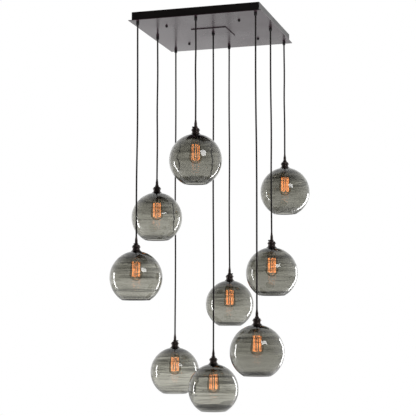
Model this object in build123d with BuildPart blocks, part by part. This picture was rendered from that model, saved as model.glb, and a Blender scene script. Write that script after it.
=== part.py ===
from build123d import *
import os
from math import acos, atan2, cos, pi, radians, sin, sqrt

os.makedirs("parts", exist_ok=True)

# A cluster pendant: nine blown glass globes on cords below a square ceiling canopy.
# Millimetres, Z up. The origin is the middle of the ceiling plane; everything hangs below it.
# X runs along the near side of the canopy, Y away from the viewer.

# Canopy
cord_pitch = 272.0
edge_margin = 21.5
plate_overhang = 11.5
box_side = 2 * (cord_pitch + edge_margin)
plate_side = box_side + 2 * plate_overhang
plate_thick = 2.5
box_height = 38.0
box_wall = 1.5
box_flange = 10.0
box_bend = 2.0
box_inner_bend = box_bend / 4
plate_corner = box_bend / 2
screw_pitch = 340.0

# Access cover, in two halves below the plate
cover_side = 164.0
cover_depth = 3.5
cover_wall = 1.5
cover_seam = 0.4
cover_seat_gap = 0.1
cover_screw_inset = 9.0
window_margin = 14.0
bridge_width = 30.0
window_corner = 6.0

# Ceiling frame and standoffs
frame_thick = 3.0
joist_pitch = 406.4
rail_end = 21.8
rail_length = joist_pitch + 2 * rail_end
rail_width = 30.0
rail_corner = 3.0
strip_width = 110.0
ceiling_hole_radius = 3.3
cable_hole_radius = 11.1
cable_hole_y = -60.0
standoff_flats = 10.0
standoff_tap_depth = 16.0
spigot_gap = 0.2

# Screws: shank, head radius, head height
canopy_screw = (2.5, 6.0, 7.5)
canopy_screw_length = 14.0
cover_screw = (1.5, 3.0, 1.4)
block_screw = (2.0, 3.8, 2.4)
set_screw = (1.5, 2.8, 6.5)
screw_clearance = 0.25
thread_clearance = 0.1

# Cords and what holds them at the canopy
cord_radius = 3.75
cord_bore_clearance = 0.1
grip_radius = 7.0
grip_height = 15.0
grip_shoulder = 7.0
grip_mouth_wall = 1.3
stem_radius = 5.0
grip_stem_length = 9.0
nut_flats = 14.0
nut_height = 4.0
swing_gap = 0.3

# Wiring inside the canopy
lead_level = -14.0
lead_bend = 17.0
lead_jog_radius = 40.0
lead_spacing = 13.0
block_length = 100.0
block_depth = 24.0
block_height = 16.0
block_screw_pitch = block_length - 12.0
block_near_y = 32.0
block_entry_depth = 4.0
block_well_radius = 3.0
block_well_depth = 8.0

# Lamp head, heights measured up from the plane where the cap's skirt stands on the glass
boot_profile = [(0.0, 6.0), (2.0, 6.6), (13.0, 6.5), (17.5, 5.7), (23.0, 4.6), (30.0, 4.1)]
boot_height = boot_profile[-1][0]
boot_groove_levels = [4.5, 8.5, 12.5, 16.5]
boot_groove = (0.5, 1.4)
cap_height = 35.5
cap_wall = 1.0
cap_collar_radius = 9.2
cap_collar_height = 6.5
cap_bell_radius = 16.6
cap_bell_round = 7.0
cap_bead_radius = 19.2
cap_bead_middle = 19.0
cap_bead_height = 5.0
cap_waist_radius = 15.9
cap_waist = 10.5
cap_skirt_radius = 23.0
cap_skirt_edge = 1.2

# Lamp socket
socket_radius = 14.6
socket_top = 21.0
socket_roof = 3.0
socket_bore_radius = 13.8
socket_skirt_radius = 18.2
socket_bottom = -14.0
shell_wall = 0.35
shell_top = 14.0
shell_bottom = -11.0
contact_radius = 4.0
contact_height = 1.6
ring_collar_radius = 21.0
ring_flange_radius = 25.0
ring_flange_height = 2.0
ring_height = 6.5

# Glass globe
glass_wall = 3.2
glass_hole_radius = 20.0
glass_seat_gap = 0.3
glass_rim_round = 1.2

# Bulb, hanging from the socket
thread_radius = 13.05
thread_top = 11.5
thread_bottom = -12.0
insulator_height = 2.9
tip_radius = 4.6
tip_height = 1.2
bulb_neck_radius = 13.6
bulb_neck_bottom = -18.0
bulb_neck_round = 8.0
bulb_shoulder_radius = 19.0
bulb_shoulder = -27.0
bulb_shoulder_round = 9.0
bulb_nose_radius = 28.6
bulb_bottom = -128.5
bulb_wall = 0.8
stem_foot_radius = 6.0
stem_neck_radius = 3.2
stem_neck = -38.0
stem_rod_radius = 1.3
filament_wire = 0.9
filament_radius = 17.0
filament_top = -47.0
filament_bottom = -110.0
filament_runs = 10
support_wire = 0.7
support_gap = 0.15

# The nine pendants: column, row, drop from plate to glass, globe width, mouth width and
# the direction that the cap's set screw points in, in degrees
pendants = [
    (-1, -1, 1028.0, 233.0, 122.0, 250.0),
    (0, -1, 523.0, 231.0, 104.0, 200.0),
    (1, -1, 1350.0, 232.0, 112.0, 290.0),
    (-1, 0, 739.0, 234.0, 108.0, 90.0),
    (0, 0, 1522.0, 227.0, 112.0, 130.0),
    (1, 0, 1004.0, 231.0, 114.0, 190.0),
    (-1, 1, 1452.0, 233.0, 110.0, 10.0),
    (0, 1, 1136.0, 227.0, 102.0, 20.0),
    (1, 1, 608.0, 232.0, 108.0, 270.0),
]

# Levels worked out from the sizes above
plate_top = -box_height
plate_bottom = plate_top - plate_thick
grip_bottom = plate_bottom - grip_height
cover_bottom = plate_bottom - cover_depth
boot_top = cap_height + boot_height
stem_hole_radius = stem_radius + thread_clearance
screw_corners = [(x * screw_pitch / 2, y * screw_pitch / 2) for x in (-1, 1) for y in (-1, 1)]
cord_places = [(column * cord_pitch, row * cord_pitch) for column, row, *_ in pendants]


def save(node, *solids):
    """One file for each node, its solids kept apart."""
    piece = solids[0] if len(solids) == 1 else Compound(children=list(solids))
    piece.label = node
    export_step(piece, f"parts/{node}.step")


def copies(piece, places):
    """The finished piece again at each place."""
    return [piece.moved(Location(place)) for place in places]


# ---------------------------------------------------------------- ceiling frame
with BuildPart() as mounting_frame:
    with BuildSketch():
        with Locations((0, screw_pitch / 2), (0, -screw_pitch / 2)):
            Rectangle(rail_length, rail_width)
        Rectangle(strip_width, screw_pitch)
        with GridLocations(joist_pitch, screw_pitch, 2, 2):
            Circle(ceiling_hole_radius, mode=Mode.SUBTRACT)
        with GridLocations(screw_pitch, screw_pitch, 2, 2):
            Circle(canopy_screw[0] + thread_clearance, mode=Mode.SUBTRACT)
        with Locations((0, cable_hole_y)):
            Circle(cable_hole_radius, mode=Mode.SUBTRACT)
    extrude(amount=-frame_thick)
    with Locations(Plane.XY.offset(-frame_thick)):
        with Locations((0, block_near_y + block_depth / 2)):
            with GridLocations(block_screw_pitch, 0, 2, 1):
                Hole(block_screw[0] + thread_clearance)
    upright = mounting_frame.edges().filter_by(Axis.Z)
    fillet(upright.filter_by(GeomType.LINE).group_by(SortBy.DISTANCE)[-1], rail_corner)
save("mounting_frame", mounting_frame.part)

# A hexagon post with a spigot riveted in the frame and a tapped hole for the canopy screw
standoff_length = box_height - frame_thick
with BuildPart() as standoff:
    with BuildSketch(Plane.XY.offset(plate_top)):
        RegularPolygon(standoff_flats / 2, 6, major_radius=False)
    extrude(amount=standoff_length)
    with BuildSketch(Plane.XY.offset(-frame_thick)):
        Circle(canopy_screw[0])
    extrude(amount=frame_thick - spigot_gap)
    with BuildSketch(Plane.XY.offset(plate_top)):
        Circle(canopy_screw[0] + thread_clearance)
    extrude(amount=standoff_tap_depth, mode=Mode.SUBTRACT)
save("standoffs", *copies(standoff.part, screw_corners))

# ---------------------------------------------------------------- canopy
with BuildPart() as canopy_box:
    with BuildSketch():
        RectangleRounded(box_side, box_side, box_bend)
        RectangleRounded(box_side - 2 * box_wall, box_side - 2 * box_wall, box_inner_bend, mode=Mode.SUBTRACT)
    extrude(amount=-box_height)
    with BuildSketch(Plane.XY.offset(plate_top)):
        RectangleRounded(box_side - box_wall, box_side - box_wall, plate_corner)
        inner = box_side - 2 * (box_wall + box_flange)
        Rectangle(inner, inner, mode=Mode.SUBTRACT)
    extrude(amount=box_wall)
save("canopy_box", canopy_box.part)

window_length = cover_side - 2 * window_margin
window_width = (cover_side - bridge_width) / 2 - window_margin
window_middle = (bridge_width + window_width) / 2
cover_screw_x = cover_side / 2 - cover_screw_inset
cover_screw_y = cover_side / 2 - cover_screw_inset
with BuildPart() as canopy_plate:
    with BuildSketch(Plane.XY.offset(plate_bottom)):
        RectangleRounded(plate_side, plate_side, plate_corner)
        with GridLocations(cord_pitch, cord_pitch, 3, 3):
            Circle(stem_hole_radius, mode=Mode.SUBTRACT)
        with GridLocations(screw_pitch, screw_pitch, 2, 2):
            Circle(canopy_screw[0] + screw_clearance, mode=Mode.SUBTRACT)
        with GridLocations(0, 2 * window_middle, 1, 2):
            RectangleRounded(window_length, window_width, window_corner, mode=Mode.SUBTRACT)
        with GridLocations(2 * cover_screw_x, 2 * cover_screw_y, 2, 2):
            Circle(cover_screw[0] + thread_clearance, mode=Mode.SUBTRACT)
    extrude(amount=plate_thick)
save("canopy_plate", canopy_plate.part)

# Dome head screws through the plate into the standoffs
shank, head_radius, head_height = canopy_screw
with BuildPart() as canopy_screw_part:
    with BuildSketch(Plane.XY.offset(plate_bottom)):
        Circle(head_radius)
    extrude(amount=-head_height)
    fillet(canopy_screw_part.edges().group_by(Axis.Z)[0], head_height * 0.6)
    with BuildSketch(Plane.XY.offset(plate_bottom)):
        Circle(shank)
    extrude(amount=canopy_screw_length)
    with BuildSketch(Plane.XY.offset(plate_bottom - head_height)):
        Rectangle(head_radius * 0.8, 1.0)
        Rectangle(1.0, head_radius * 0.8)
    extrude(amount=1.2, mode=Mode.SUBTRACT)
save("canopy_screws", *copies(canopy_screw_part.part, screw_corners))


# ---------------------------------------------------------------- access cover
def cover_half(side):
    """One tray of the cover; side is -1 for the near half, 1 for the far one."""
    half_width = cover_side / 2 - cover_seam / 2
    grip_clear = grip_radius + 1.0
    shank, head_radius, head_height = cover_screw
    with BuildPart() as tray:
        with BuildSketch(Plane.XY.offset(cover_bottom)):
            with Locations((0, side * (cover_seam / 2 + half_width / 2))):
                Rectangle(cover_side, half_width)
        extrude(amount=cover_depth - cover_seat_gap)
        with BuildSketch(Plane.XY.offset(cover_bottom + cover_wall)):
            with Locations((0, side * (half_width - cover_wall) / 2)):
                Rectangle(cover_side - 2 * cover_wall, half_width - cover_wall + cover_seam)
        extrude(amount=cover_depth, mode=Mode.SUBTRACT)
        with BuildSketch(Plane.XY.offset(cover_bottom)):
            Circle(grip_clear)
        extrude(amount=cover_depth, mode=Mode.SUBTRACT)
        with Locations(Plane.XY.offset(cover_bottom).rotated((180, 0, 0))):
            with Locations((cover_screw_x, -side * cover_screw_y), (-cover_screw_x, -side * cover_screw_y)):
                CounterSinkHole(shank + thread_clearance, head_radius + thread_clearance)
    return tray.part


def cover_screws(side):
    """The two flush screws of one half."""
    shank, head_radius, head_height = cover_screw
    with BuildPart() as screw:
        with BuildSketch(Plane.XZ):
            with BuildLine():
                Polyline((0, cover_bottom), (head_radius, cover_bottom),
                         (shank, cover_bottom + head_height), (shank, plate_top - 0.3),
                         (0, plate_top - 0.3), close=True)
            make_face()
        revolve(axis=Axis.Z)
    return copies(screw.part, [(x, side * cover_screw_y) for x in (-cover_screw_x, cover_screw_x)])


for name, side in (("near", -1), ("far", 1)):
    save(f"access_cover_{name}", cover_half(side))
    save(f"cover_screws_{name}", *cover_screws(side))

# ---------------------------------------------------------------- cord grips
with BuildPart() as cord_grip:
    bore = cord_radius + cord_bore_clearance
    mouth = bore + grip_mouth_wall
    with BuildSketch(Plane.XZ):
        with BuildLine():
            Polyline((bore, grip_bottom), (mouth, grip_bottom))
            Spline((mouth, grip_bottom), (grip_radius, plate_bottom - grip_shoulder),
                   tangents=((1, 0.6), (0, 1)))
            Polyline((grip_radius, plate_bottom - grip_shoulder), (grip_radius, plate_bottom),
                     (stem_radius, plate_bottom), (stem_radius, plate_bottom + grip_stem_length),
                     (bore, plate_bottom + grip_stem_length), (bore, grip_bottom))
        make_face()
    revolve(axis=Axis.Z)
save("cord_grips", *copies(cord_grip.part, cord_places))

with BuildPart() as grip_nut:
    with BuildSketch(Plane.XY.offset(plate_top)):
        RegularPolygon(nut_flats / 2, 6, major_radius=False)
        Circle(stem_hole_radius, mode=Mode.SUBTRACT)
    extrude(amount=nut_height)
save("grip_nuts", *copies(grip_nut.part, cord_places))

# ---------------------------------------------------------------- wiring
block_top = -frame_thick
block_middle = block_near_y + block_depth / 2
block_far_y = block_near_y + block_depth
near_entries = [-3 * lead_spacing, -2 * lead_spacing, -lead_spacing, 0.0,
                2 * lead_spacing, 3 * lead_spacing]
far_entries = [-2 * lead_spacing, 0.0, 2 * lead_spacing]
with BuildPart() as terminal_block:
    with BuildSketch(Plane.XY.offset(block_top)):
        with Locations((0, block_middle)):
            Rectangle(block_length, block_depth)
    extrude(amount=-block_height)
    with BuildSketch(Plane.XZ.offset(-block_near_y)):
        with Locations(*[(x, lead_level) for x in near_entries]):
            Circle(cord_radius + cord_bore_clearance)
    extrude(amount=-block_entry_depth, mode=Mode.SUBTRACT)
    with BuildSketch(Plane.XZ.offset(-block_far_y)):
        with Locations(*[(x, lead_level) for x in far_entries]):
            Circle(cord_radius + cord_bore_clearance)
    extrude(amount=block_entry_depth, mode=Mode.SUBTRACT)
    with BuildSketch(Plane.XY.offset(block_top)):
        with Locations((0, block_middle)):
            with GridLocations(block_screw_pitch, 0, 2, 1):
                Circle(block_screw[0] + thread_clearance)
    extrude(amount=-block_height, mode=Mode.SUBTRACT)
save("terminal_block", terminal_block.part)

shank, head_radius, head_height = block_screw
with BuildPart() as block_screw_part:
    with BuildSketch(Plane.XY.offset(block_top - block_height)):
        Circle(head_radius)
    extrude(amount=-head_height)
    fillet(block_screw_part.edges().group_by(Axis.Z)[0], head_height * 0.5)
    with BuildSketch(Plane.XY.offset(block_top - block_height)):
        Circle(shank)
    extrude(amount=block_height + frame_thick - 0.3)
block_screw_places = [(x * block_screw_pitch / 2, block_middle) for x in (-1, 1)]
save("block_screws", *copies(block_screw_part.part, block_screw_places))


def lead_route(column, row):
    """The way of one lead in plan, from its grip to its entry in the terminal block."""
    x, y = column * cord_pitch, row * cord_pitch
    if row == 1:
        entry_x, entry_y = column * 2 * lead_spacing, block_far_y - block_entry_depth
    elif column == 0:
        entry_x, entry_y = (-lead_spacing if row else 0.0), block_near_y + block_entry_depth
    else:
        entry_x = column * (3 if row == 0 else 2) * lead_spacing
        entry_y = block_near_y + block_entry_depth
    if x == entry_x:
        return [(x, y), (entry_x, entry_y)]
    if column == 0:
        return [(x, y), (x, y * 0.6), (entry_x, y * 0.3), (entry_x, entry_y)]
    return [(x, y), (entry_x, y), (entry_x, entry_y)]


def lead(column, row):
    """One lead: up through the grip, over and along to the terminal block."""
    plan = lead_route(column, row)
    points = [(*plan[0], grip_bottom)] + [(*place, lead_level) for place in plan]
    radii = [lead_bend] * (len(points) - 2)
    if len(points) == 5:
        radii[1:] = [lead_jog_radius] * 2
    with BuildPart() as wire:
        with BuildLine() as path:
            FilletPolyline(*points, radius=radii)
        with BuildSketch(Plane(origin=points[0], z_dir=(0, 0, 1))):
            Circle(cord_radius)
        sweep()
    length = sum(edge.length for edge in path.line.edges())
    print(f"lead {column} {row}: bend radii {radii}, length {length:.1f}, "
          f"volume over section times length {wire.part.volume / (pi * cord_radius ** 2 * length):.4f}")
    return wire.part


save("inner_leads", *[lead(column, row) for column, row, *_ in pendants])

# ---------------------------------------------------------------- lamp head, built at its seat
collar_bottom = cap_height - cap_collar_height


def cap_form(inset, roof):
    """The turned outline of the socket cap, pulled in by a wall and closed below its roof."""
    top = cap_height - roof
    skirt, waist = cap_skirt_radius - inset, cap_waist_radius - inset
    bell, collar = cap_bell_radius - inset, cap_collar_radius - inset
    bell_round = cap_bell_round - inset
    with BuildSketch(Plane.XZ) as form:
        with BuildLine():
            Polyline((waist, cap_waist), (bell, cap_bead_middle), (bell, collar_bottom - cap_bell_round))
            RadiusArc((bell, collar_bottom - cap_bell_round),
                      (bell - bell_round, collar_bottom - inset), -bell_round)
            Polyline((bell - bell_round, collar_bottom - inset), (collar, collar_bottom - inset),
                     (collar, top), (0, top), (0, 0), (skirt, 0), (skirt, cap_skirt_edge))
            flare_width, flare_height = skirt - waist, cap_waist - cap_skirt_edge
            flare = (flare_width ** 2 + flare_height ** 2) / (2 * flare_width)
            RadiusArc((skirt, cap_skirt_edge), (waist, cap_waist), flare)
        make_face()
    return form.sketch


def boot_radius(level):
    """How wide the boot is at this height above the cap."""
    for (low, low_radius), (high, high_radius) in zip(boot_profile, boot_profile[1:]):
        if level <= high:
            return low_radius + (high_radius - low_radius) * (level - low) / (high - low)
    return boot_profile[-1][1]


with BuildPart() as socket_cap:
    add(cap_form(0, 0))
    revolve(axis=Axis.Z)
    fillet(socket_cap.edges().group_by(Axis.Z)[-1], 1.0)
    with BuildSketch(Plane.XZ):
        with Locations((cap_bead_radius - cap_bead_height / 2, cap_bead_middle)):
            Circle(cap_bead_height / 2)
    revolve(axis=Axis.Z)
    add(revolve(cap_form(cap_wall, 1.5 * cap_wall), axis=Axis.Z, mode=Mode.PRIVATE), mode=Mode.SUBTRACT)
    with BuildSketch(Plane.XY.offset(cap_height)):
        Circle(stem_hole_radius)
    extrude(amount=-2 * cap_wall, mode=Mode.SUBTRACT)
    with BuildSketch(Plane.YZ):
        with Locations((0, cap_height - cap_collar_height / 2)):
            Circle(set_screw[0] + thread_clearance)
    extrude(amount=2 * cap_collar_radius, mode=Mode.SUBTRACT)

# The strain relief: a grooved sleeve on the cap that tapers to the cord, with a threaded stem down
# into the socket
with BuildPart() as boot:
    with BuildSketch(Plane.XZ):
        with BuildLine():
            Polyline((0, socket_top - socket_roof + 0.5), (stem_radius, socket_top - socket_roof + 0.5),
                     (stem_radius, cap_height), *[(radius, cap_height + level) for level, radius in boot_profile],
                     (0, boot_top), close=True)
        make_face()
    revolve(axis=Axis.Z)
    groove_depth, groove_height = boot_groove
    for level in boot_groove_levels:
        with BuildSketch(Plane.XZ):
            with Locations((boot_radius(level), cap_height + level)):
                Rectangle(2 * groove_depth, groove_height)
        revolve(axis=Axis.Z, mode=Mode.SUBTRACT)

shank, head_radius, head_height = set_screw
with BuildPart() as cap_set_screw:
    with BuildSketch(Plane.YZ.offset(cap_collar_radius + 0.2)):
        with Locations((0, cap_height - cap_collar_height / 2)):
            Circle(head_radius)
    extrude(amount=head_height)
    fillet(cap_set_screw.edges().group_by(Axis.X)[-1], 0.6)
    with BuildSketch(Plane.YZ.offset(stem_radius + 0.2)):
        with Locations((0, cap_height - cap_collar_height / 2)):
            Circle(shank)
    extrude(amount=cap_collar_radius - stem_radius)

# Lamp socket: insulating body, brass screw shell and centre contact
with BuildPart() as socket_body:
    with BuildSketch(Plane.XZ):
        with BuildLine():
            Polyline((stem_hole_radius, socket_top), (socket_radius, socket_top),
                     (socket_radius, 0), (socket_skirt_radius, 0),
                     (socket_skirt_radius, socket_bottom), (socket_bore_radius, socket_bottom),
                     (socket_bore_radius, socket_top - socket_roof),
                     (stem_hole_radius, socket_top - socket_roof), close=True)
        make_face()
    revolve(axis=Axis.Z)

with BuildPart() as screw_shell:
    with BuildSketch(Plane.XY.offset(shell_bottom)):
        Circle(socket_bore_radius - 0.05)
        Circle(socket_bore_radius - 0.05 - shell_wall, mode=Mode.SUBTRACT)
    extrude(amount=shell_top - shell_bottom)

with BuildPart() as contact:
    with BuildSketch(Plane.XY.offset(socket_top - socket_roof)):
        Circle(contact_radius)
    extrude(amount=-contact_height)


# ---------------------------------------------------------------- globe and its ring
def globe_middle(width):
    """The level of the globe's middle when the cap's skirt stands on it."""
    return -glass_seat_gap - sqrt((width / 2) ** 2 - cap_skirt_radius ** 2)


def globe(width, mouth):
    """A blown globe, cut open below, with a hole for the socket above."""
    middle = globe_middle(width)
    mouth_level = middle - sqrt((width / 2) ** 2 - (mouth / 2) ** 2)
    with BuildPart() as glass:
        with BuildSketch(Plane.XZ) as wall:
            with Locations((0, middle)):
                Circle(width / 2)
                Circle(width / 2 - glass_wall, mode=Mode.SUBTRACT)
            with Locations((glass_hole_radius, mouth_level)):
                Rectangle(width, width, align=(Align.MIN, Align.MIN), mode=Mode.INTERSECT)
            fillet(wall.vertices().group_by(Axis.Y)[0], glass_rim_round)
        revolve(axis=Axis.Z)
    return glass.part


def shade_ring(width):
    """The ring on the socket's skirt that holds the glass up against the cap."""
    inside = sqrt((width / 2 - glass_wall) ** 2 - ring_flange_radius ** 2)
    top = globe_middle(width) + inside - glass_seat_gap
    flange_bottom = top - ring_flange_height
    bore = socket_skirt_radius + 2 * thread_clearance
    with BuildPart() as ring:
        with BuildSketch(Plane.XZ):
            with BuildLine():
                Polyline((bore, top), (ring_flange_radius, top), (ring_flange_radius, flange_bottom),
                         (ring_collar_radius, flange_bottom), (ring_collar_radius, top - ring_height),
                         (bore, top - ring_height), close=True)
            make_face()
        revolve(axis=Axis.Z)
    return ring.part


# ---------------------------------------------------------------- bulb
def envelope_form(inset):
    """The outline of the long tapered bulb glass with its round nose, pulled in by a wall."""
    nose = bulb_nose_radius - inset
    nose_middle = bulb_bottom + bulb_nose_radius
    shoulder = bulb_shoulder_radius - inset
    neck = bulb_neck_radius - inset
    reach = sqrt(shoulder ** 2 + (bulb_shoulder - nose_middle) ** 2)
    turn = acos(nose / reach) + atan2(shoulder, bulb_shoulder - nose_middle)
    touch = (nose * sin(turn), nose_middle + nose * cos(turn))
    with BuildSketch(Plane.XZ) as form:
        with BuildLine():
            Polyline((0, bulb_bottom + inset), (0, thread_bottom), (neck, thread_bottom),
                     (neck, bulb_neck_bottom), (shoulder, bulb_shoulder), touch)
            RadiusArc(touch, (0, bulb_bottom + inset), nose)
        make_face()
        corners = form.vertices().sort_by(Axis.Y, reverse=True)
        fillet([v for v in corners if abs(v.Y - bulb_neck_bottom) < 0.01], bulb_neck_round)
        corners = form.vertices().sort_by(Axis.Y, reverse=True)
        fillet([v for v in corners if abs(v.Y - bulb_shoulder) < 0.01], bulb_shoulder_round - inset)
    return form.sketch


with BuildPart() as envelope:
    add(envelope_form(0))
    revolve(axis=Axis.Z)
    add(revolve(envelope_form(bulb_wall), axis=Axis.Z, mode=Mode.PRIVATE), mode=Mode.SUBTRACT)

with BuildPart() as bulb_base:
    with BuildSketch(Plane.XZ):
        with BuildLine():
            Polyline((0, thread_bottom), (thread_radius, thread_bottom), (thread_radius, thread_top - 1.5),
                     (thread_radius - 1.5, thread_top), (tip_radius + 0.6, thread_top + insulator_height),
                     (0, thread_top + insulator_height), close=True)
        make_face()
    revolve(axis=Axis.Z)

with BuildPart() as tip_contact:
    with BuildSketch(Plane.XY.offset(thread_top + insulator_height)):
        Circle(tip_radius)
    extrude(amount=tip_height)
    fillet(tip_contact.edges().group_by(Axis.Z)[-1], tip_height * 0.6)

# Glass stem with a rod down the middle
with BuildPart() as bulb_stem:
    with BuildSketch(Plane.XZ):
        with BuildLine():
            Polyline((0, thread_bottom), (stem_foot_radius, thread_bottom), (stem_neck_radius, stem_neck),
                     (stem_rod_radius, stem_neck - 2.0), (stem_rod_radius, filament_bottom - 1.0),
                     (0, filament_bottom - 1.0), close=True)
        make_face()
    revolve(axis=Axis.Z)

# One wire that runs up and down round a cage, with the support wires that reach out from the rod
# and are crimped to its bends
with BuildPart() as filament:
    turn = 360 / filament_runs
    link_radius = filament_radius * cos(radians(turn / 2))
    link_length = 2 * filament_radius * sin(radians(turn / 2)) + filament_wire
    middle = (filament_top + filament_bottom) / 2
    with Locations((0, 0, middle)):
        with PolarLocations(filament_radius, filament_runs):
            Box(filament_wire, filament_wire, filament_top - filament_bottom + filament_wire)
    with Locations((0, 0, filament_top)):
        with PolarLocations(link_radius, filament_runs // 2, start_angle=turn / 2):
            Box(filament_wire, link_length, filament_wire)
    with Locations((0, 0, filament_bottom)):
        with PolarLocations(link_radius, filament_runs // 2 - 1, start_angle=turn * 1.5,
                            angular_range=2 * turn * (filament_runs // 2 - 1)):
            Box(filament_wire, link_length, filament_wire)
    support_start = stem_rod_radius + support_gap
    for level, start, count in ((filament_top, turn / 2, filament_runs // 2),
                                (filament_bottom, turn * 1.5, filament_runs // 2 - 1)):
        with Locations((0, 0, level)):
            with PolarLocations(support_start, count, start_angle=start, angular_range=2 * turn * count):
                Box(link_radius - support_start, support_wire, support_wire,
                    align=(Align.MIN, Align.CENTER, Align.CENTER))

# ---------------------------------------------------------------- the nine pendants
for number, (column, row, drop, width, mouth, screw_turn) in enumerate(pendants, 1):
    x, y = column * cord_pitch, row * cord_pitch
    seat = plate_bottom - drop
    here = Location((x, y, seat))
    turned = Location((x, y, seat), (0, 0, screw_turn))
    cord_top = grip_bottom - swing_gap
    cord_foot = seat + boot_top
    with BuildPart() as cord:
        with BuildSketch(Plane(origin=(x, y, cord_foot))):
            Circle(cord_radius)
        extrude(amount=cord_top - cord_foot)
    save(f"cord_{number}", cord.part)
    save(f"socket_cap_{number}", socket_cap.part.moved(turned), boot.part.moved(here),
         cap_set_screw.part.moved(turned))
    save(f"lamp_socket_{number}", socket_body.part.moved(here), screw_shell.part.moved(here),
         contact.part.moved(here), shade_ring(width).moved(here))
    save(f"glass_globe_{number}", globe(width, mouth).moved(here))
    save(f"bulb_{number}", envelope.part.moved(here), bulb_base.part.moved(here),
         tip_contact.part.moved(here), bulb_stem.part.moved(here), filament.part.moved(here))
    print(f"pendant {number}: cord {cord_top - cord_foot:.1f} long, glass seat at {seat:.1f}")
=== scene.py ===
from math import acos, atan2, cos, pi, sin, sqrt

import bpy
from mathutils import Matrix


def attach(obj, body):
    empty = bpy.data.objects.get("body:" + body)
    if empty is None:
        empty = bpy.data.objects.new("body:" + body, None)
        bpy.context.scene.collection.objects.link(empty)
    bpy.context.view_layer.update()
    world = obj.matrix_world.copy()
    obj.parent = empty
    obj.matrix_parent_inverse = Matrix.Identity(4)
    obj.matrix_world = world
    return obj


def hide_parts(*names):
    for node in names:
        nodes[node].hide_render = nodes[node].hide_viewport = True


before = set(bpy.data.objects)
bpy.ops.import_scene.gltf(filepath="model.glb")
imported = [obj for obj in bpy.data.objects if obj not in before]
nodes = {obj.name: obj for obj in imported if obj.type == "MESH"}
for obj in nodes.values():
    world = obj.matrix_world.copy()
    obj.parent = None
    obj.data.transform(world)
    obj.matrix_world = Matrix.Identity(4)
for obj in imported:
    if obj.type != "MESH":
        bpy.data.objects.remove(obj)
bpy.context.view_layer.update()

# the photograph's viewpoint
camera = {"place": (1.5135, -5.1214, -1.4335), "tiltUp": 0.1074, "turn": 0.2919, "lens": 102.1, "sensor": 36.0,
          "farthest": 60}

bpy.ops.object.camera_add(location=camera["place"], rotation=(pi / 2 + camera["tiltUp"], 0, camera["turn"]))
viewer = bpy.context.object
viewer.name = "viewer"
viewer.data.lens = camera["lens"]
viewer.data.sensor_width = camera["sensor"]
viewer.data.clip_end = camera["farthest"]
bpy.context.scene.camera = viewer
print("camera:", viewer.name)

grid = {"pitch": 0.272, "plateBottom": -0.0405, "gripExit": -0.0555}

# drop is from the plate to the glass; sway is how far the cord wanders off its line, in mm; band is a dark streak
# in the glass: its height over the rim and half its width in mm, and what is left of the colour
pendants = {
    1: {"column": -1, "row": -1, "drop": 1.028, "width": 0.233, "mouth": 0.122,
        "sway": (1.5, 2.5, -1.0), "streaks": 0.75, "pale": 0.9, "band": (44, 3.5, 0.6)},
    2: {"column": 0, "row": -1, "drop": 0.523, "width": 0.231, "mouth": 0.104,
        "sway": (0.8, -1.2, 0.6), "streaks": 0.55, "pale": 0.55, "band": (17, 9, 0.45)},
    3: {"column": 1, "row": -1, "drop": 1.350, "width": 0.232, "mouth": 0.112,
        "sway": (-1.5, 2.0, 1.0), "streaks": 0.6, "pale": 0.55, "band": (9, 11, 0.5)},
    4: {"column": -1, "row": 0, "drop": 0.739, "width": 0.234, "mouth": 0.108,
        "sway": (1.6, -1.0, 1.2), "streaks": 0.6, "pale": 0.85, "band": (12, 8, 0.6)},
    5: {"column": 0, "row": 0, "drop": 1.522, "width": 0.227, "mouth": 0.112,
        "sway": (0.6, -1.2, 1.4), "streaks": 0.7, "pale": 1.1, "band": (22, 7, 0.25)},
    6: {"column": 1, "row": 0, "drop": 1.004, "width": 0.231, "mouth": 0.114,
        "sway": (-1.0, 1.8, -1.2), "streaks": 0.8, "pale": 0.62, "band": (13, 8, 0.5)},
    7: {"column": -1, "row": 1, "drop": 1.452, "width": 0.233, "mouth": 0.110,
        "sway": (1.4, -1.6, 1.8), "streaks": 0.65, "pale": 1.2, "band": (30, 3, 0.6)},
    8: {"column": 0, "row": 1, "drop": 1.136, "width": 0.227, "mouth": 0.102,
        "sway": (-1.2, 1.0, -1.5), "streaks": 0.5, "pale": 0.82, "band": (12, 7, 0.55)},
    9: {"column": 1, "row": 1, "drop": 0.608, "width": 0.232, "mouth": 0.108,
        "sway": (1.0, -1.4, 0.8), "streaks": 0.8, "pale": 0.55, "band": (20, 7, 0.65)},
}
for pendant in pendants.values():
    pendant["x"] = pendant["column"] * grid["pitch"]
    pendant["y"] = pendant["row"] * grid["pitch"]
    pendant["seat"] = grid["plateBottom"] - pendant["drop"]

# a cord is straight at both ends, and across is the level way in which it wanders, as the camera sees it
cord = {"radius": 0.00375, "swingGap": 0.0003, "bootTop": 0.0655, "straight": 0.036, "across": (0.96, 0.29),
        "around": 4, "along": 16}


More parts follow.
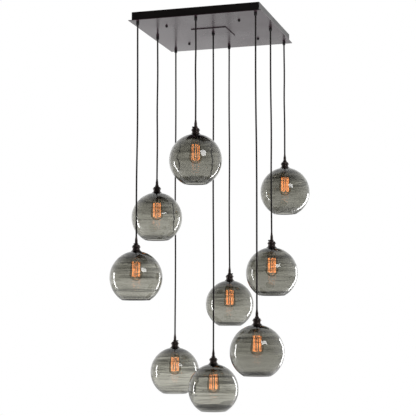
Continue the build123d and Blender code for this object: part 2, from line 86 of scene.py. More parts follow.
def hangCord(number, pendant):
    top = grid["gripExit"] - cord["swingGap"]
    foot = pendant["seat"] + cord["bootTop"]
    run = top - cord["straight"], foot + cord["straight"]
    places = [(0, top), (0, run[0])]
    for step, sway in enumerate(pendant["sway"], 1):
        places.append((sway / 1000, run[0] + (run[1] - run[0]) * step / (len(pendant["sway"]) + 1)))
    places += [(0, run[1]), (0, foot)]
    line = bpy.data.curves.new(f"cord{number}", "CURVE")
    line.dimensions = "3D"
    line.bevel_depth = 1.0   # each point's own radius is the cord's
    line.bevel_resolution = cord["around"]
    line.resolution_u = cord["along"]
    line.use_fill_caps = True
    spline = line.splines.new("NURBS")
    spline.points.add(len(places) - 1)
    for point, (off, z) in zip(spline.points, places):
        point.co = (pendant["x"] + off * cord["across"][0], pendant["y"] + off * cord["across"][1], z, 1)
        point.radius = cord["radius"]
    spline.order_u = 3
    spline.use_endpoint_u = True
    piece = bpy.data.objects.new(f"fabric_cord_{number}", line)
    bpy.context.collection.objects.link(piece)
    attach(piece, f"pendant_{number}")
    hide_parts(f"cord_{number}")
    return piece


cords = [hangCord(number, pendant) for number, pendant in pendants.items()]
print("cords:", len(cords))


def addNode(tree, kind, inputs=None, **settings):
    node = tree.nodes.new(kind)
    for name, value in settings.items():
        setattr(node, name, value)
    for key, value in (inputs or {}).items():
        if isinstance(value, bpy.types.NodeSocket):
            tree.links.new(value, node.inputs[key])
        else:
            node.inputs[key].default_value = value
    return node


def mathNode(tree, operation, a, b=0.0):
    return addNode(tree, "ShaderNodeMath", {0: a, 1: b}, operation=operation).outputs[0]


def newGroup(name, inputs, outputs):
    tree = bpy.data.node_groups.new(name, "ShaderNodeTree")
    for label, value in inputs.items():
        socket = tree.interface.new_socket(label, in_out="INPUT", socket_type="NodeSocketFloat")
        socket.default_value = value
    for label, kind in outputs.items():
        tree.interface.new_socket(label, in_out="OUTPUT", socket_type=kind)
    return tree, tree.nodes.new("NodeGroupInput"), tree.nodes.new("NodeGroupOutput")


def cordPlaceGroup():
    # where a point lies round the nearest cord: local place, distance out and turn
    tree, given, out = newGroup("cordPlace", {"Pitch": grid["pitch"]},
                                {"Local": "NodeSocketVector", "Out": "NodeSocketFloat", "Turn": "NodeSocketFloat"})
    here = addNode(tree, "ShaderNodeSeparateXYZ", {0: addNode(tree, "ShaderNodeTexCoord").outputs["Object"]})
    local = []
    for axis in ("X", "Y"):
        cell = mathNode(tree, "ROUND", mathNode(tree, "DIVIDE", here.outputs[axis], given.outputs["Pitch"]))
        middle = mathNode(tree, "MULTIPLY", cell, given.outputs["Pitch"])
        local.append(mathNode(tree, "SUBTRACT", here.outputs[axis], middle))
    place = addNode(tree, "ShaderNodeCombineXYZ", {0: local[0], 1: local[1], 2: here.outputs["Z"]})
    squares = [mathNode(tree, "MULTIPLY", side, side) for side in local]
    tree.links.new(place.outputs[0], out.inputs["Local"])
    tree.links.new(mathNode(tree, "SQRT", mathNode(tree, "ADD", *squares)), out.inputs["Out"])
    tree.links.new(mathNode(tree, "ARCTAN2", local[1], local[0]), out.inputs["Turn"])
    return tree


def wearGroup():
    # soft patches and a fine grain for painted, turned and moulded surfaces
    tree, given, out = newGroup("wear", {"Patch Scale": 9.0, "Grain Scale": 900.0},
                                {"Patches": "NodeSocketFloat", "Grain": "NodeSocketFloat"})
    here = addNode(tree, "ShaderNodeTexCoord").outputs["Object"]
    for label, scale, detail in (("Patches", "Patch Scale", 4.0), ("Grain", "Grain Scale", 2.0)):
        noise = addNode(tree, "ShaderNodeTexNoise", {"Vector": here, "Scale": given.outputs[scale], "Detail": detail})
        tree.links.new(noise.outputs["Fac"], out.inputs[label])
    return tree


# stretch is how many times a pattern repeats in a metre along each axis
streakNoise = {"stretch": (3.0, 3.0, 95.0), "tilt": (0.03, -0.04, 0), "detail": 2.5, "distortion": 0.5}
waveNoise = {"stretch": (9.0, 9.0, 26.0), "tilt": (0.1, 0.07, 0), "detail": 0.6, "distortion": 0.6}


def stretchedNoise(tree, look, scale):
    here = addNode(tree, "ShaderNodeTexCoord").outputs["Object"]
    mapped = addNode(tree, "ShaderNodeMapping", {"Vector": here, "Scale": look["stretch"], "Rotation": look["tilt"]})
    return addNode(tree, "ShaderNodeTexNoise", {"Vector": mapped.outputs[0], "Scale": scale, "Detail": look["detail"],
                                                "Distortion": look["distortion"]}).outputs["Fac"]


def swirlGroup():
    # the level streaks and slow waves of blown glass
    tree, given, out = newGroup("swirl", {"Streak Scale": 1.0},
                                {"Streaks": "NodeSocketFloat", "Waves": "NodeSocketFloat"})
    tree.links.new(stretchedNoise(tree, streakNoise, given.outputs["Streak Scale"]), out.inputs["Streaks"])
    tree.links.new(stretchedNoise(tree, waveNoise, 1.0), out.inputs["Waves"])
    return tree


cordPlace, wear, swirl = cordPlaceGroup(), wearGroup(), swirlGroup()


def useGroup(tree, group, **values):
    node = addNode(tree, "ShaderNodeGroup", node_tree=group)
    for name, value in values.items():
        node.inputs[name.replace("_", " ")].default_value = value
    return node


def newMaterial(name, **values):
    material = bpy.data.materials.new(name)
    material.use_nodes = True
    tree = material.node_tree
    surface = tree.nodes["Principled BSDF"]
    for key, value in values.items():
        surface.inputs[key.replace("_", " ")].default_value = value
    return material, tree, surface


def shade(tree, fac, colors, stops=None):
    # a colour ramp between two or more colours
    ramp = addNode(tree, "ShaderNodeValToRGB", {"Fac": fac})
    stops = stops or [step / (len(colors) - 1) for step in range(len(colors))]
    while len(ramp.color_ramp.elements) < len(colors):
        ramp.color_ramp.elements.new(0.5)
    for element, stop, color in zip(ramp.color_ramp.elements, stops, colors):
        element.position = stop
        element.color = (*color, 1)
    return ramp.outputs["Color"]


def span(tree, value, low, high, toLow, toHigh):
    return addNode(tree, "ShaderNodeMapRange", {"Value": value, "From Min": low, "From Max": high,
                                                "To Min": toLow, "To Max": toHigh}).outputs["Result"]


def axisOf(tree, vector, axis):
    return addNode(tree, "ShaderNodeSeparateXYZ", {0: vector}).outputs[axis]


def bump(tree, surface, height, strength, depth):
    node = addNode(tree, "ShaderNodeBump", {"Height": height, "Strength": strength, "Distance": depth})
    tree.links.new(node.outputs["Normal"], surface.inputs["Normal"])


patchRange = (0.3, 0.7)   # what the patches' noise runs through, from dark to light
# polish fades out from left to right, in metres, and edge from upright faces (0) to level ones (1)
fades = {"paint": (0.3, 0.75), "polish": (-0.3, 0.15), "edge": (0.2, 0.8)}
grainDepth = {"paint": 0.0002, "metal": 0.0001}


def paintMaterial(name, look):
    material, tree, surface = newMaterial(name, IOR=look["ior"], Specular_IOR_Level=look["shine"])
    worn = useGroup(tree, wear, Patch_Scale=look["patches"], Grain_Scale=look["grain"])
    tones = [look["color"], [c * look["lighter"] for c in look["color"]]]
    tree.links.new(shade(tree, worn.outputs["Patches"], tones, fades["paint"]), surface.inputs["Base Color"])
    rough = span(tree, worn.outputs["Patches"], *patchRange, *look["rough"])
    if "leftPolish" in look:
        # the sheet's finish is a little smoother towards its left side
        across = axisOf(tree, addNode(tree, "ShaderNodeTexCoord").outputs["Object"], "X")
        rough = mathNode(tree, "SUBTRACT", rough, span(tree, across, *fades["polish"], look["leftPolish"], 0))
    if "edgeRough" in look:
        # the folded edges are duller than the level faces
        normal = addNode(tree, "ShaderNodeNewGeometry").outputs["True Normal"]
        level = mathNode(tree, "ABSOLUTE", axisOf(tree, normal, "Z"))
        rough = mathNode(tree, "ADD", rough, span(tree, level, *fades["edge"], look["edgeRough"], 0))
    tree.links.new(rough, surface.inputs["Roughness"])
    bump(tree, surface, worn.outputs["Grain"], look["orangePeel"], grainDepth["paint"])
    return material


paints = {
    "boxPaint": {"color": (0.004, 0.0026, 0.0026), "lighter": 1.4, "rough": (0.32, 0.42),
        "ior": 1.5, "shine": 0.42, "patches": 6.0, "grain": 700.0, "orangePeel": 0.15},
    "platePaint": {"color": (0.030, 0.015, 0.021), "lighter": 1.3, "rough": (0.25, 0.34), "leftPolish": 0.12,
        "ior": 1.5, "shine": 0.6, "patches": 5.0, "grain": 600.0, "orangePeel": 0.12},
    "coverPaint": {"color": (0.028, 0.014, 0.020), "lighter": 1.3, "rough": (0.25, 0.34), "leftPolish": 0.12,
        "ior": 1.5, "shine": 0.6, "edgeRough": 0.6, "patches": 5.0, "grain": 600.0, "orangePeel": 0.12},
    "blackScrew": {"color": (0.006, 0.005, 0.005), "lighter": 1.6, "rough": (0.35, 0.5),
        "ior": 1.5, "shine": 0.3, "patches": 60.0, "grain": 2500.0, "orangePeel": 0.2},
    "gripNylon": {"color": (0.008, 0.007, 0.0075), "lighter": 1.4, "rough": (0.45, 0.6),
        "ior": 1.46, "shine": 0.4, "patches": 90.0, "grain": 2600.0, "orangePeel": 0.3},
    "blockPlastic": {"color": (0.66, 0.64, 0.58), "lighter": 1.1, "rough": (0.35, 0.5),
        "ior": 1.5, "shine": 0.5, "patches": 40.0, "grain": 1500.0, "orangePeel": 0.15},
    "leadSheath": {"color": (0.012, 0.012, 0.012), "lighter": 1.5, "rough": (0.45, 0.6),
        "ior": 1.5, "shine": 0.4, "patches": 50.0, "grain": 2000.0, "orangePeel": 0.2},
}
made = {name: paintMaterial(name, look) for name, look in paints.items()}


def metalMaterial(name, look):
    material, tree, surface = newMaterial(name, Metallic=look["metal"], Specular_IOR_Level=0.5)
    worn = useGroup(tree, wear, Patch_Scale=look["patches"], Grain_Scale=look["grain"])
    tree.links.new(shade(tree, worn.outputs["Patches"], look["colors"], patchRange), surface.inputs["Base Color"])
    tree.links.new(span(tree, worn.outputs["Patches"], *patchRange, *look["rough"]), surface.inputs["Roughness"])
    bump(tree, surface, worn.outputs["Grain"], look["lines"], grainDepth["metal"])
    return material


metals = {
    "zincSteel": {"metal": 1.0, "colors": [(0.42, 0.42, 0.40), (0.58, 0.57, 0.54)],
        "rough": (0.28, 0.45), "patches": 22.0, "grain": 1600.0, "lines": 0.2},
    "darkBronze": {"metal": 0.75, "colors": [(0.022, 0.016, 0.015), (0.045, 0.032, 0.028)],
        "rough": (0.28, 0.42), "patches": 70.0, "grain": 2400.0, "lines": 0.25},
    "brass": {"metal": 1.0, "colors": [(0.66, 0.46, 0.20), (0.78, 0.57, 0.28)],
        "rough": (0.22, 0.36), "patches": 90.0, "grain": 2600.0, "lines": 0.2},
}
made.update({name: metalMaterial(name, look) for name, look in metals.items()})

# ribs is how many go round the cord, and rise the height of one in metres
woven = {"dark": (0.005, 0.0035, 0.0035), "light": (0.011, 0.008, 0.008), "ribs": 12, "rise": 0.0021,
         "relief": 0.1, "depth": 0.0002}


def fabricMaterial():
    # a woven cover: two crossing sets of ribs round the cord
    material, tree, surface = newMaterial("wovenCord", Roughness=0.7, Specular_IOR_Level=0.15,
                                          Sheen_Weight=0.05, Sheen_Roughness=0.5)
    place = useGroup(tree, cordPlace)
    height = axisOf(tree, place.outputs["Local"], "Z")
    turn = mathNode(tree, "MULTIPLY", place.outputs["Turn"], woven["ribs"])
    climb = mathNode(tree, "MULTIPLY", height, 2 * pi / woven["rise"])
    one = mathNode(tree, "SINE", mathNode(tree, "ADD", turn, climb))
    other = mathNode(tree, "SINE", mathNode(tree, "SUBTRACT", turn, climb))
    weave = span(tree, mathNode(tree, "MULTIPLY", one, other), -1, 1, 0, 1)
    tree.links.new(shade(tree, weave, [woven["dark"], woven["light"]]), surface.inputs["Base Color"])
    bump(tree, surface, weave, woven["relief"], woven["depth"])
    return material


made["wovenCord"] = fabricMaterial()

# brass is all that lies nearer to the cord's line than these distances, between which it changes to black
socket = {"black": [(0.010, 0.009, 0.009), (0.018, 0.016, 0.016)], "brass": [(0.62, 0.43, 0.19), (0.76, 0.56, 0.27)],
          "brassWithin": (0.01377, 0.01379), "patches": 70.0, "grain": 2200.0, "relief": 0.2}


def socketMaterial():
    # one CAD node holds the black body, the shade ring and the brass shell and contact
    material, tree, surface = newMaterial("socketParts", Roughness=0.35)
    place = useGroup(tree, cordPlace)
    worn = useGroup(tree, wear, Patch_Scale=socket["patches"], Grain_Scale=socket["grain"])
    black = shade(tree, worn.outputs["Patches"], socket["black"], patchRange)
    brassy = shade(tree, worn.outputs["Patches"], socket["brass"], patchRange)
    inside = span(tree, place.outputs["Out"], *socket["brassWithin"], 1, 0)
    mix = addNode(tree, "ShaderNodeMix", {0: inside, 6: black, 7: brassy}, data_type="RGBA")
    tree.links.new(inside, surface.inputs["Metallic"])
    tree.links.new(mix.outputs[2], surface.inputs["Base Color"])
    bump(tree, surface, worn.outputs["Grain"], socket["relief"], grainDepth["metal"])
    return material


made["socketParts"] = socketMaterial()

globe = {"wall": 0.0032, "hole": 0.020, "capSkirt": 0.023, "seatGap": 0.0003, "rimRound": 0.0013,
         "around": 128, "rings": 96, "unevenness": 0.0007, "dents": 0.075}
for pendant in pendants.values():
    pendant["radius"] = pendant["width"] / 2
    pendant["middle"] = pendant["seat"] - globe["seatGap"] - sqrt(pendant["radius"] ** 2 - globe["capSkirt"] ** 2)
    pendant["rim"] = pendant["middle"] - sqrt(pendant["radius"] ** 2 - (pendant["mouth"] / 2) ** 2)

# stops run from the seat (0) down to the rim (1), and rimStops from the rim (0) up through rimHeight (1); belts are
# how far the colour goes from dark to light; crown and edge are what is left of it under the cap and at the outline,
# and the values over the rim are painted shade lines and a painted highlight line (above 1), on glass that is darker
# where it is thicker; bandCore is the share of a dark band that is full
smoke = {"dark": (0.31, 0.305, 0.272), "light": (0.64, 0.635, 0.585), "streak": 2.4, "wave": 0.35,
         "streakScale": 0.8, "scaleStep": 0.1,
         "crownShades": (0.5, 0.9), "belts": (0.55, 1.0, 0.7), "stops": (0.0, 0.16, 0.45, 0.74, 1.0),
         "crown": 0.12, "crownFade": (0.045, 0.085), "crownWave": 0.25, "edge": 0.32, "edgeFade": (0.62, 0.95),
         "rimHeight": 0.024, "rimPaintedLight": (0.10, 0.14, 1.1, 1.1, 0.6, 0.8, 1.0),
         "rimStops": (0.0, 0.13, 0.19, 0.26, 0.4, 0.6, 1.0), "bandWave": 0.03, "bandCore": 0.4}
# the ripples of the outer face, within the skin, which calm down towards the rim
ripple = {"strength": 0.5, "depth": 0.004, "skin": (0.0024, 0.0018), "calmHeights": (0.015, 0.07), "calm": 0.15}


def darkened(tree, color, amount):
    # multiplies a colour by a value
    return addNode(tree, "ShaderNodeVectorMath", {0: color, 1: amount}, operation="MULTIPLY").outputs[0]


def smokeMaterial(number, pendant):
    # blown smoke glass: dark at the crown, a pale belt below the middle, level streaks, a dark band over the rim,
    # and painted shade lines and a painted highlight line just over the rim
    material, tree, surface = newMaterial(f"smokeGlass{number}", Roughness=0.0, IOR=1.5, Transmission_Weight=1.0)
    swirled = useGroup(tree, swirl, Streak_Scale=smoke["streakScale"] + smoke["scaleStep"] * number)
    here = addNode(tree, "ShaderNodeTexCoord").outputs["Object"]
    level = axisOf(tree, here, "Z")
    down = span(tree, level, pendant["seat"], pendant["rim"], 0, 1)
    streak = mathNode(tree, "MULTIPLY", mathNode(tree, "SUBTRACT", swirled.outputs["Streaks"], 0.5),
                      pendant["streaks"] * smoke["streak"])
    wave = mathNode(tree, "MULTIPLY", mathNode(tree, "SUBTRACT", swirled.outputs["Waves"], 0.5), smoke["wave"])
    tone = mathNode(tree, "ADD", down, mathNode(tree, "ADD", streak, wave))
    dark, light = smoke["dark"], smoke["light"]
    shades = [[d * share for d in dark] for share in smoke["crownShades"]]
    shades += [[d + (l - d) * pendant["pale"] * share for d, l in zip(dark, light)] for share in smoke["belts"]]
    color = shade(tree, tone, shades, smoke["stops"])
    crown = mathNode(tree, "ADD", down, mathNode(tree, "MULTIPLY", wave, smoke["crownWave"]))
    color = darkened(tree, color, span(tree, crown, *smoke["crownFade"], smoke["crown"], 1.0))
    # just over the rim: painted shade lines and a painted highlight line, on glass that is darker where it is thicker
    above = span(tree, level, pendant["rim"], pendant["rim"] + smoke["rimHeight"], 0, 1)
    rimShadeAndHighlight = shade(tree, above, [(band, band, band) for band in smoke["rimPaintedLight"]], smoke["rimStops"])
    color = darkened(tree, color, rimShadeAndHighlight)
    height, half, left = pendant["band"]
    slant = mathNode(tree, "ADD", level, mathNode(tree, "MULTIPLY", wave, smoke["bandWave"]))
    off = mathNode(tree, "ABSOLUTE", mathNode(tree, "SUBTRACT", slant, pendant["rim"] + height / 1000))
    color = darkened(tree, color, span(tree, off, half * smoke["bandCore"] / 1000, half / 1000, left, 1.0))
    facing = addNode(tree, "ShaderNodeLayerWeight", {"Blend": 0.5}).outputs["Facing"]
    color = darkened(tree, color, span(tree, facing, *smoke["edgeFade"], 1.0, smoke["edge"]))
    tree.links.new(color, surface.inputs["Base Color"])
    # only the outer face is wavy, so that what lies behind the glass is bent
    centre = (pendant["x"], pendant["y"], pendant["middle"])
    out = addNode(tree, "ShaderNodeVectorMath", {0: here, 1: centre}, operation="DISTANCE").outputs["Value"]
    outer = span(tree, out, *[pendant["radius"] - deep for deep in ripple["skin"]], 0, 1)
    calm = span(tree, level, *[pendant["rim"] + high for high in ripple["calmHeights"]], ripple["calm"], 1)
    waves = mathNode(tree, "MULTIPLY", swirled.outputs["Waves"], mathNode(tree, "MULTIPLY", outer, calm))
    bump(tree, surface, waves, ripple["strength"], ripple["depth"])
    return material


def bulbGlassMaterial():
    # clear glass with a faint film, darker where it is seen edge on
    material, tree, surface = newMaterial("bulbGlass", Roughness=0.0, IOR=1.45, Transmission_Weight=1.0)
    film = useGroup(tree, wear, Patch_Scale=25.0, Grain_Scale=400.0)
    clear = shade(tree, film.outputs["Patches"], [(0.93, 0.86, 0.76), (0.99, 0.95, 0.90)], patchRange)
    facing = addNode(tree, "ShaderNodeLayerWeight", {"Blend": 0.5}).outputs["Facing"]
    outline = shade(tree, facing, [(1, 1, 1), (0.74, 0.62, 0.50), (0.20, 0.16, 0.12)], [0.25, 0.52, 0.8])
    tree.links.new(darkened(tree, clear, outline), surface.inputs["Base Color"])
    return material


def stemGlassMaterial():
    material, tree, surface = newMaterial("stemGlass", Roughness=0.05, IOR=1.5, Transmission_Weight=0.9)
    film = useGroup(tree, wear, Patch_Scale=120.0, Grain_Scale=900.0)
    cloudy = shade(tree, film.outputs["Patches"], [(0.86, 0.86, 0.84), (0.95, 0.95, 0.93)], patchRange)
    tree.links.new(cloudy, surface.inputs["Base Color"])
    return material


def glowWireMaterial():
    # the lit filament, a little hotter in patches
    material, tree, surface = newMaterial("glowWire", Roughness=0.6, Base_Color=(0.25, 0.09, 0.03, 1),
                                          Emission_Strength=4.6)
    heat = useGroup(tree, wear, Patch_Scale=60.0, Grain_Scale=1500.0)
    glow = shade(tree, heat.outputs["Patches"], [(1.0, 0.30, 0.085), (1.0, 0.40, 0.14)], patchRange)
    tree.links.new(glow, surface.inputs["Emission Color"])
    return material


made.update(bulbGlass=bulbGlassMaterial(), stemGlass=stemGlassMaterial(), glowWire=glowWireMaterial())
print("materials:", len(made))


def dress(piece, material):
    if not piece.material_slots:
        piece.data.materials.append(material)
    for slot in piece.material_slots:
        slot.material = material


for piece in cords:
    dress(piece, made["wovenCord"])

canopyFinishes = {
    "canopy_box": "boxPaint", "canopy_plate": "platePaint", "canopy_screws": "blackScrew",
    "access_cover_near": "coverPaint", "access_cover_far": "coverPaint",
    "cover_screws_near": "platePaint", "cover_screws_far": "platePaint", "cord_grips": "gripNylon",
    "grip_nuts": "zincSteel", "mounting_frame": "zincSteel", "standoffs": "zincSteel",
    "terminal_block": "blockPlastic", "block_screws": "zincSteel", "inner_leads": "leadSheath",
}
for node, finish in canopyFinishes.items():
    dress(nodes[node], made[finish])
for number in pendants:
    dress(nodes[f"socket_cap_{number}"], made["darkBronze"])
    dress(nodes[f"lamp_socket_{number}"], made["socketParts"])


def begin():
    bpy.ops.object.select_all(action="DESELECT")


def finishPiece(piece, name, material, body, smooth=0.6):
    piece.name = name
    begin()
    piece.select_set(True)
    bpy.context.view_layer.objects.active = piece
    bpy.ops.object.transform_apply(location=True, rotation=True, scale=True)
    bpy.ops.object.shade_smooth_by_angle(angle=smooth)
    dress(piece, material)
    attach(piece, body)
    return piece


def applyModifiers(piece):
    begin()
    piece.select_set(True)
    bpy.context.view_layer.objects.active = piece
    for modifier in list(piece.modifiers):
        bpy.ops.object.modifier_apply(modifier=modifier.name)


def selectLevel(piece, level, near=1e-5):
    # selects the ring of edges that lies at this height, in edit mode
    bpy.ops.mesh.select_all(action="DESELECT")
    bpy.ops.object.mode_set(mode="OBJECT")
    for vertex in piece.data.vertices:
        vertex.select = abs(vertex.co.z - level) < near
    for edge in piece.data.edges:
        edge.select = all(piece.data.vertices[v].select for v in edge.vertices)
    bpy.ops.object.mode_set(mode="EDIT")


def turnUp(rings):
    # from the selected ring, extrudes through the rest: each is a height and a radius
    height, radius = rings[0]
    for nextHeight, nextRadius in rings[1:]:
        bpy.ops.mesh.extrude_region_move(TRANSFORM_OT_translate={"value": (0, 0, nextHeight - height)})
        scale = nextRadius / radius
        bpy.ops.transform.resize(value=(scale, scale, 1), center_override=(0, 0, nextHeight))
        height, radius = nextHeight, nextRadius


def turnFromDisc(rings, around):
    # a closed disc at the first ring, turned up through the others; it is left in edit mode
    height, radius = rings[0]
    begin()
    bpy.ops.mesh.primitive_circle_add(vertices=around, radius=radius, fill_type="NGON", location=(0, 0, height))
    piece = bpy.context.object
    bpy.ops.object.transform_apply(location=True)
    bpy.ops.object.mode_set(mode="EDIT")
    bpy.ops.mesh.select_all(action="SELECT")
    turnUp(rings)
    return piece


def faceOutwards():
    # leaves edit mode, with every face of the piece pointing out
    bpy.ops.mesh.select_all(action="SELECT")
    bpy.ops.mesh.normals_make_consistent(inside=False)
    bpy.ops.object.mode_set(mode="OBJECT")


def copyTo(source, place):
    piece = source.copy()
    piece.data = source.data.copy()
    bpy.context.collection.objects.link(piece)
    piece.location = place
    return piece


blownTexture = bpy.data.textures.new("blownUnevenness", "CLOUDS")
blownTexture.noise_scale = globe["dents"]
blownTexture.noise_depth = 1


def blowGlobe(number, pendant):
    x, y, radius, middle, rim = (pendant[key] for key in ("x", "y", "radius", "middle", "rim"))
    crown = middle + sqrt(radius ** 2 - globe["hole"] ** 2)
    begin()
    bpy.ops.mesh.primitive_uv_sphere_add(segments=globe["around"], ring_count=globe["rings"], radius=radius,
                                         location=(x, y, middle))
    piece = bpy.context.object
    bpy.ops.object.mode_set(mode="EDIT")
    bpy.ops.mesh.select_all(action="SELECT")
    bpy.ops.mesh.bisect(plane_co=(x, y, rim), plane_no=(0, 0, 1), clear_inner=True)
    bpy.ops.mesh.select_all(action="SELECT")
    bpy.ops.mesh.bisect(plane_co=(x, y, crown), plane_no=(0, 0, 1), clear_outer=True)
    bpy.ops.object.mode_set(mode="OBJECT")
    bpy.ops.object.transform_apply(location=True)
    uneven = piece.modifiers.new("uneven", "DISPLACE")   # only ever inwards, so it stays in the CAD box
    uneven.texture = blownTexture
    uneven.texture_coords = "LOCAL"
    uneven.strength = globe["unevenness"]
    uneven.mid_level = 1.0
    wall = piece.modifiers.new("wall", "SOLIDIFY")
    wall.thickness = globe["wall"]
    wall.offset = -1
    rimRound = piece.modifiers.new("rimRound", "BEVEL")
    rimRound.width = globe["rimRound"]
    rimRound.segments = 3
    rimRound.limit_method = "ANGLE"
    rimRound.angle_limit = 0.9
    applyModifiers(piece)
    finishPiece(piece, f"blown_globe_{number}", smokeMaterial(number, pendant), f"pendant_{number}",
                smooth=0.9)
    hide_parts(f"glass_globe_{number}")
    return piece


globes = [blowGlobe(number, pendant) for number, pendant in pendants.items()]
print("globes:", len(globes), "with", sum(len(piece.data.polygons) for piece in globes), "faces")

# the bulb is modelled once at the seat's level, then copied to each pendant; heights are from that level
# shoulder and neck are a height and a radius, and their rounds are what each ring adds to them
bulb = {"nose": 0.0286, "bottom": -0.1285, "shoulder": (-0.027, 0.019), "neck": (-0.018, 0.0136), "top": -0.012,
        "shoulderRound": ((-0.003, 0.0003), (0.0015, -0.0009), (0.0045, -0.0028)),
        "neckRound": ((-0.0015, 0.0008), (0.0015, 0)), "wall": 0.0007, "taperRings": 4, "around": 56, "rings": 40}
base = {"radius": 0.01305, "top": 0.0115, "bottom": -0.012, "threads": 5, "depth": 0.0005, "turnRings": 4,
        "lip": 0.002, "insulator": 0.003, "insulatorStep": 0.0015, "around": 48}
tip = {"radius": 0.0046, "level": 0.0144, "height": 0.0012, "seam": 0.0004}
stem = {"foot": 0.006, "neck": 0.0032, "neckLevel": -0.038, "rod": 0.0011, "end": -0.112, "around": 24,
        "flareLevels": (-0.020, -0.029), "wire": 0.0002, "wireSides": 6}
filament = {"runs": 10, "radius": 0.0168, "top": -0.047, "bottom": -0.110, "wire": 0.0008, "bow": 0.0005, "steps": 4}


def modelEnvelope():
    middle = bulb["bottom"] + bulb["nose"]
    shoulderHeight, shoulderRadius = bulb["shoulder"]
    reach = sqrt(shoulderRadius ** 2 + (shoulderHeight - middle) ** 2)
    turn = acos(bulb["nose"] / reach) + atan2(shoulderRadius, shoulderHeight - middle)
    touch = middle + bulb["nose"] * cos(turn)
    begin()
    bpy.ops.mesh.primitive_uv_sphere_add(segments=bulb["around"], ring_count=bulb["rings"], radius=bulb["nose"],
                                         location=(0, 0, middle))
    piece = bpy.context.object
    bpy.ops.object.transform_apply(location=True)
    bpy.ops.object.mode_set(mode="EDIT")
    bpy.ops.mesh.select_all(action="SELECT")
    bpy.ops.mesh.bisect(plane_co=(0, 0, touch), plane_no=(0, 0, 1), clear_outer=True)
    selectLevel(piece, touch)
    wide = bulb["nose"] * sin(turn)
    shares = [step / bulb["taperRings"] for step in range(bulb["taperRings"])]
    rings = [(touch + (shoulderHeight - touch) * share, wide + (shoulderRadius - wide) * share) for share in shares]
    for corner, rounding in ((bulb["shoulder"], bulb["shoulderRound"]), (bulb["neck"], bulb["neckRound"])):
        rings += [(corner[0] + up, corner[1] + out) for up, out in rounding]
    rings.append((bulb["top"], bulb["neck"][1]))
    turnUp(rings)
    faceOutwards()
    wall = piece.modifiers.new("wall", "SOLIDIFY")
    wall.thickness = bulb["wall"]
    wall.offset = -1
    applyModifiers(piece)
    return piece


def modelBase():
    # a screw shell with its rolled thread, closed by the insulator, and the tip contact
    start = base["bottom"] + base["lip"]
    length = base["top"] - base["insulator"] - base["bottom"] - base["lip"]
    rings = [(base["bottom"], base["radius"]), (start, base["radius"])]
    steps = base["threads"] * base["turnRings"]
    for step in range(1, steps + 1):
        groove = base["depth"] * (0.5 - 0.5 * cos(2 * pi * step / base["turnRings"]))
        rings.append((start + length * step / steps, base["radius"] - groove))
    rings += [(base["top"], base["radius"] - base["insulatorStep"]), (tip["level"], tip["radius"] + tip["seam"]),
              (tip["level"], tip["radius"]), (tip["level"] + tip["height"] * 0.5, tip["radius"]),
              (tip["level"] + tip["height"], tip["radius"] * 0.75)]
    piece = turnFromDisc(rings, base["around"])
    faceOutwards()
    return piece


def modelStem():
    # the flared glass foot, its neck, rod and end bead, and the wires out to each bend of the filament
    flare = stem["flareLevels"]
    rings = [(bulb["top"], stem["foot"]), (flare[0], stem["foot"] * 0.86), (flare[1], stem["neck"] * 1.25),
             (stem["neckLevel"], stem["neck"]), (stem["neckLevel"] - 0.002, stem["neck"] * 0.8),
             (stem["neckLevel"] - 0.0035, stem["rod"]), (stem["end"] + 0.0015, stem["rod"]),
             (stem["end"] + 0.0004, stem["rod"] * 1.5), (stem["end"], stem["rod"] * 1.1)]
    piece = turnFromDisc(rings, stem["around"])
    reach = filament["radius"] * cos(pi / filament["runs"])
    for level, offset in ((filament["top"], 0), (filament["bottom"], 1)):
        for step in range(filament["runs"] // 2 - offset):
            turn = 2 * pi * (2 * step + offset + 0.5) / filament["runs"]
            across = reach / 2 * cos(turn), reach / 2 * sin(turn), level
            bpy.ops.mesh.select_all(action="DESELECT")
            bpy.ops.mesh.primitive_cylinder_add(vertices=stem["wireSides"], radius=stem["wire"], depth=reach,
                                                location=across, rotation=(pi / 2, 0, turn + pi / 2))
    faceOutwards()
    return piece


def modelFilament():
    # one wire that runs up and down round a cage, hooked over a support at each bend
    line = bpy.data.curves.new("filament", "CURVE")
    line.dimensions = "3D"
    line.bevel_depth = filament["wire"]
    line.bevel_resolution = 1
    line.use_fill_caps = True
    places = []
    for run in range(filament["runs"]):
        turn = 2 * pi * run / filament["runs"]
        ends = (filament["bottom"], filament["top"]) if run % 2 == 0 else (filament["top"], filament["bottom"])
        for step in range(filament["steps"] + 1):
            height = ends[0] + (ends[1] - ends[0]) * step / filament["steps"]
            reach = filament["radius"] - filament["bow"] * sin(pi * step / filament["steps"])
            places.append((reach * cos(turn), reach * sin(turn), height))
    spline = line.splines.new("POLY")
    spline.points.add(len(places) - 1)
    for point, place in zip(spline.points, places):
        point.co = (*place, 1)
    piece = bpy.data.objects.new("filament", line)
    bpy.context.collection.objects.link(piece)
    begin()
    piece.select_set(True)
    bpy.context.view_layer.objects.active = piece
    bpy.ops.object.convert(target="MESH")
    return bpy.context.object


bulbParts = {
    "bulb_envelope": (modelEnvelope(), "bulbGlass"),
    "bulb_screw_base": (modelBase(), "brass"),
    "bulb_stem": (modelStem(), "stemGlass"),
    "bulb_filament": (modelFilament(), "glowWire"),
}
for number, pendant in pendants.items():
    for name, (source, finish) in bulbParts.items():
        piece = copyTo(source, (pendant["x"], pendant["y"], pendant["seat"]))
        finishPiece(piece, f"{name}_{number}", made[finish], f"bulb_{number}")
        if name == "bulb_envelope":
            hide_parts(f"bulb_{number}")
for source, finish in bulbParts.values():
    bpy.data.objects.remove(source)
print("bulbs:", len(pendants))

floor = {"level": -2.35, "size": 14.0, "color": (0.92, 0.92, 0.92), "paler": 1.02}


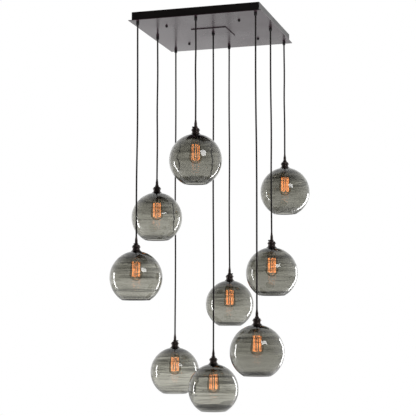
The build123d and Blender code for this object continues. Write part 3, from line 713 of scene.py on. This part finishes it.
def layFloor():
    begin()
    bpy.ops.mesh.primitive_plane_add(size=floor["size"], location=(0, 0, floor["level"]))
    ground = bpy.context.object
    ground.name = "studio_floor"
    material, tree, surface = newMaterial("floorPaint", Roughness=0.9, Specular_IOR_Level=0.1)
    worn = useGroup(tree, wear, Patch_Scale=0.8, Grain_Scale=60.0)
    tones = [floor["color"], [c * floor["paler"] for c in floor["color"]]]
    tree.links.new(shade(tree, worn.outputs["Patches"], tones), surface.inputs["Base Color"])
    dress(ground, material)


softboxes = {
    "key": {"place": (2.03, -1.86, 0.35), "aim": (0, 0, -0.95), "size": (1.1, 0.9), "power": 34},
    "leftStrip": {"place": (-2.9, -0.27, -1.55), "aim": (0, 0, -1.1), "size": (0.38, 1.9), "power": 34},
    "rightBack": {"place": (1.15, 1.75, -1.5), "aim": (0, 0, -1.2), "size": (0.4, 1.6), "power": 20},
}


def hangSoftbox(name, box):
    bpy.ops.object.light_add(type="AREA", location=box["place"])
    lamp = bpy.context.object
    lamp.name = name
    lamp.data.shape = "RECTANGLE"
    lamp.data.size, lamp.data.size_y = box["size"]
    lamp.data.energy = box["power"]
    across = [a - p for a, p in zip(box["aim"], box["place"])]
    flat = sqrt(across[0] ** 2 + across[1] ** 2)
    lamp.rotation_euler = (pi / 2 + atan2(across[2], flat), 0, atan2(across[1], across[0]) - pi / 2)
    lamp.visible_camera = False
    lamp.visible_transmission = False


# white where the room is seen, seen through or mirrored ahead, dim behind the viewer, and soft light elsewhere
room = {"light": 0.5, "ahead": 1.0, "behind": 0.05, "fade": (-0.45, 0.25)}


def lightRoom():
    world = bpy.data.worlds.new("room")
    bpy.context.scene.world = world
    world.use_nodes = True
    tree = world.node_tree
    path = addNode(tree, "ShaderNodeLightPath")
    across = axisOf(tree, addNode(tree, "ShaderNodeTexCoord").outputs["Generated"], "Y")
    mirrored = span(tree, across, *room["fade"], room["behind"], room["ahead"])
    seen = mathNode(tree, "MAXIMUM", path.outputs["Is Camera Ray"], path.outputs["Is Transmission Ray"])
    glossy = mathNode(tree, "MULTIPLY", path.outputs["Is Glossy Ray"], mirrored)
    soft = mathNode(tree, "MULTIPLY", mathNode(tree, "SUBTRACT", 1.0, path.outputs["Is Glossy Ray"]), room["light"])
    unseen = mathNode(tree, "MULTIPLY", mathNode(tree, "SUBTRACT", 1.0, seen), mathNode(tree, "ADD", glossy, soft))
    tree.links.new(mathNode(tree, "ADD", seen, unseen), tree.nodes["Background"].inputs["Strength"])
    tree.nodes["Background"].inputs["Color"].default_value = (1, 1, 1, 1)


layFloor()
for name, box in softboxes.items():
    hangSoftbox(name, box)
lightRoom()
bpy.context.scene.view_settings.view_transform = "Standard"
print("studio:", len(softboxes), "softboxes")

bpy.context.view_layer.update()
